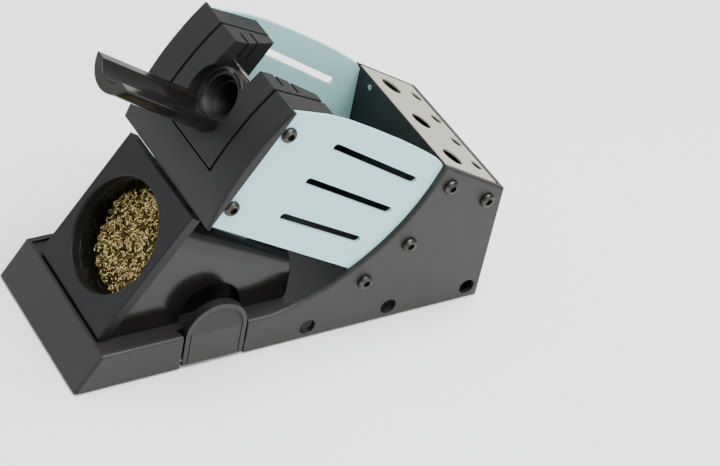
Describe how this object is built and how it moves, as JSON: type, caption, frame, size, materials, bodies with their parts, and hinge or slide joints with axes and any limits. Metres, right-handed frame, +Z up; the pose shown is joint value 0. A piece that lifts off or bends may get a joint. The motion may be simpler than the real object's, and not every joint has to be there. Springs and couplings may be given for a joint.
{
  "type": "soldering iron stand",
  "caption": "Sloping bench stand that holds a soldering iron in a trough over a pull-out cassette of brass wool, with slotted heat guards and a rack for spare tips.",
  "frame": {"origin": "on the bench surface under the middle of the base", "axes": "+Z up, +Y towards the rear tip rack, +X to the right seen from the front"},
  "size_m": [0.0844, 0.2, 0.1349],
  "materials": {
    "cast_base": "fine textured dark grey paint",
    "dark_sheet": "black satin",
    "black_screw": "blackened steel",
    "foot_rubber": "matte",
    "rack_metal": "beige grey satin",
    "bright_steel": "bright",
    "pale_plate": "pale blue green satin paint",
    "head_plastic": "dark grey matte",
    "gloss_black": "gloss black",
    "flange_plastic": "dark blue grey satin",
    "brass_wool": "curled shavings",
    "tab_plastic": "dark grey satin"
  },
  "bodies": {
    "stand": {"base_shell": "cast_base", "bottom_plate": "dark_sheet", "bottom_screws": "black_screw", "wall_screws_left": "black_screw", "wall_screws_right": "black_screw", "plate_screws_left": "black_screw", "plate_screws_right": "black_screw", "wall_nuts_left": "black_screw", "wall_nuts_right": "black_screw", "rubber_feet": "foot_rubber", "rack_plate": "rack_metal", "rear_box_panel": "dark_sheet", "panel_rivets": "bright_steel", "latch_pin_left": "bright_steel", "latch_pin_right": "bright_steel", "side_plate_left": "pale_plate", "side_plate_right": "pale_plate", "head_frame": "head_plastic"},
    "wool_cassette": {"cassette_flange": "flange_plastic", "cassette_body": "gloss_black", "brass_wool": "brass_wool"},
    "holder_insert": {"insert_half_left": "head_plastic", "insert_half_right": "head_plastic", "receptacle_ring": "gloss_black", "tip_sleeve": "dark_sheet", "rest_trough": "gloss_black", "cross_pin": "bright_steel"},
    "latch_left": {"latch_tab_left": "tab_plastic"},
    "latch_right": {"latch_tab_right": "tab_plastic"}
  },
  "joints": [
    {"name": "cassette_slide", "type": "slide", "parent": "stand", "child": "wool_cassette", "axis": [0, -0.8434, 0.5373], "range_m": [0, 0.13]},
    {"name": "insert_lift", "type": "slide", "parent": "stand", "child": "holder_insert", "axis": [0, 0.5373, 0.8434], "range_m": [0, 0.075]},
    {"name": "latch_left_press", "type": "hinge", "parent": "stand", "child": "latch_left", "pos_m": [-0.038, -0.0362, 0.0044], "axis": [0, 1, 0], "range_deg": [0, 5], "stiffness_Nm_per_rad": 0.4},
    {"name": "latch_right_press", "type": "hinge", "parent": "stand", "child": "latch_right", "pos_m": [0.038, -0.0362, 0.0044], "axis": [0, 1, 0], "range_deg": [-5, 0], "stiffness_Nm_per_rad": 0.4}
  ]
}
